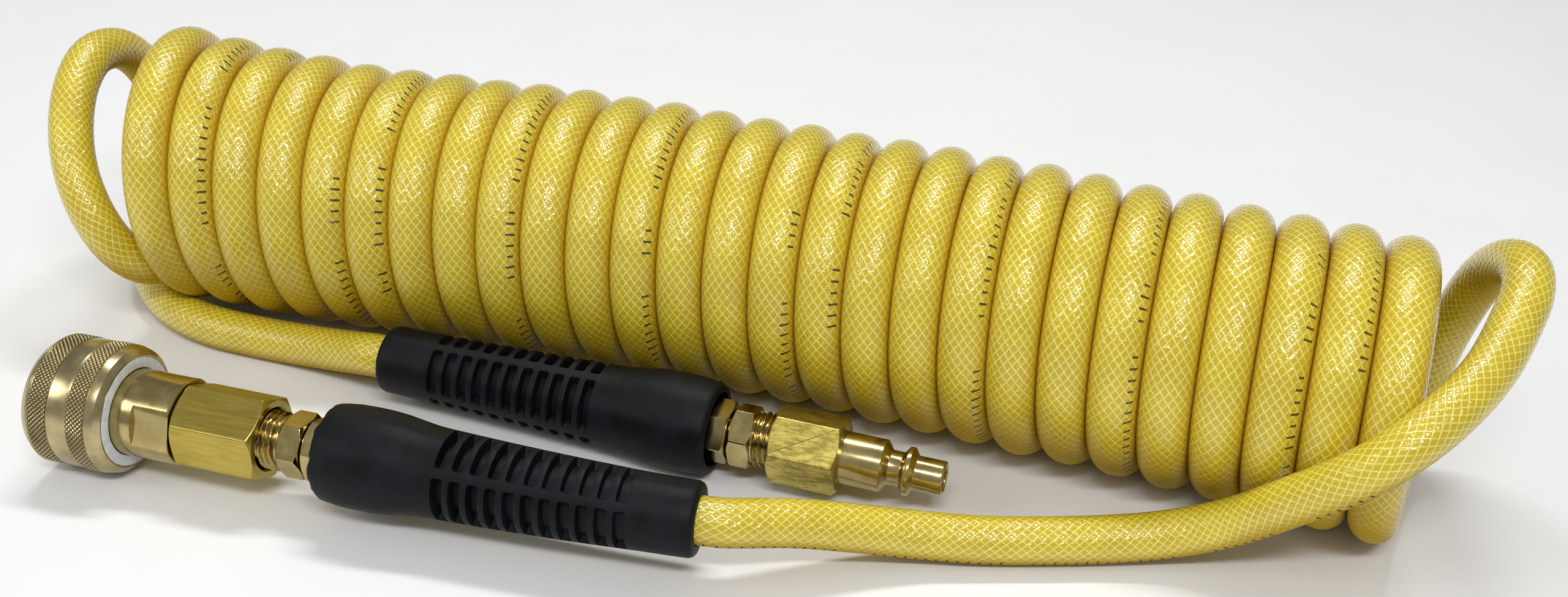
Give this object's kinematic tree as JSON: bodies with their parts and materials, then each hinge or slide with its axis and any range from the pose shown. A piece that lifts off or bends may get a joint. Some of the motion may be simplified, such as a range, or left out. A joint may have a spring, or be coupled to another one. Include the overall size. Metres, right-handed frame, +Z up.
{
  "type": "coiled air hose",
  "caption": "Braided yellow air hose wound in a tight coil, with rubber bend restrictors, a swivelling quick-connect plug on one end and a sleeve-locked quick coupler on the other.",
  "frame": {"origin": "centre of the footprint, on the surface the hose lies on", "axes": "+Z up; +X along the coil, from the end that leads to the plug towards the end that leads to the coupler; -Y the side the two fittings lie on"},
  "size_m": [0.3434, 0.1542, 0.0712],
  "materials": {
    "hose": "glossy translucent cover over a white yarn braid",
    "rubber": "matte moulded",
    "brass": "machined, lightly polished",
    "steel": "bright",
    "nylon": "satin",
    "seal": "matte"
  },
  "bodies": {
    "hose": {"hose_coil": "hose", "hose_left_loop": "hose", "hose_right_loop": "hose", "hose_plug_tail": "hose", "hose_coupler_tail": "hose", "hose_end_plug": "hose", "hose_end_coupler": "hose", "bend_restrictor_plug": "rubber", "bend_restrictor_coupler": "rubber", "crimp_ferrule_plug": "brass", "crimp_ferrule_coupler": "brass", "hose_stem_plug": "brass", "hose_stem_coupler": "brass", "swivel_retainer_plug": "steel", "swivel_retainer_coupler": "steel", "stem_o_ring_plug": "seal", "stem_o_ring_coupler": "seal"},
    "plug": {"swivel_plug": "brass", "quick_plug": "brass"},
    "coupler": {"swivel_coupler": "brass", "coupler_adapter": "brass", "coupler_body": "brass", "sleeve_clip": "steel", "sleeve_spring": "steel", "socket_seal": "seal", "valve_spring": "steel"},
    "sleeve": {"lock_sleeve": "brass", "dust_ring": "nylon"},
    "valve": {"valve_poppet": "brass", "valve_seal": "seal"},
    "ball_1": {"lock_ball_1": "steel"},
    "ball_2": {"lock_ball_2": "steel"},
    "ball_3": {"lock_ball_3": "steel"},
    "ball_4": {"lock_ball_4": "steel"}
  },
  "joints": [
    {"name": "plug_swivel", "type": "hinge", "parent": "hose", "child": "plug", "pos_m": [0.00291, -0.03121, 0.01142], "axis": [0.9583, -0.2857, 0], "continuous": true},
    {"name": "coupler_swivel", "type": "hinge", "parent": "hose", "child": "coupler", "pos_m": [-0.08943, -0.04795, 0.01473], "axis": [-0.9694, 0.2453, 0], "continuous": true},
    {"name": "sleeve_slide", "type": "slide", "parent": "coupler", "child": "sleeve", "axis": [0.9694, -0.2453, 0], "range_m": [0, 0.0036], "stiffness_N_per_m": 1500, "springref_m": -0.004},
    {"name": "valve_slide", "type": "slide", "parent": "coupler", "child": "valve", "axis": [0.9694, -0.2453, 0], "range_m": [0, 0.004], "stiffness_N_per_m": 800, "springref_m": -0.003},
    {"name": "ball_1_slide", "type": "slide", "parent": "coupler", "child": "ball_1", "axis": [0.2181, 0.8619, 0.4577], "range_m": [0, 0.00125]},
    {"name": "ball_2_slide", "type": "slide", "parent": "coupler", "child": "ball_2", "axis": [0.1123, 0.4437, -0.8891], "range_m": [0, 0.00125]},
    {"name": "ball_3_slide", "type": "slide", "parent": "coupler", "child": "ball_3", "axis": [-0.2181, -0.8619, -0.4577], "range_m": [0, 0.00125]},
    {"name": "ball_4_slide", "type": "slide", "parent": "coupler", "child": "ball_4", "axis": [-0.1123, -0.4437, 0.8891], "range_m": [0, 0.00125]}
  ],
  "couplings": [
    {"joint": "ball_1_slide", "follows": "sleeve_slide", "ratio": 0.347},
    {"joint": "ball_2_slide", "follows": "sleeve_slide", "ratio": 0.347},
    {"joint": "ball_3_slide", "follows": "sleeve_slide", "ratio": 0.347},
    {"joint": "ball_4_slide", "follows": "sleeve_slide", "ratio": 0.347}
  ]
}
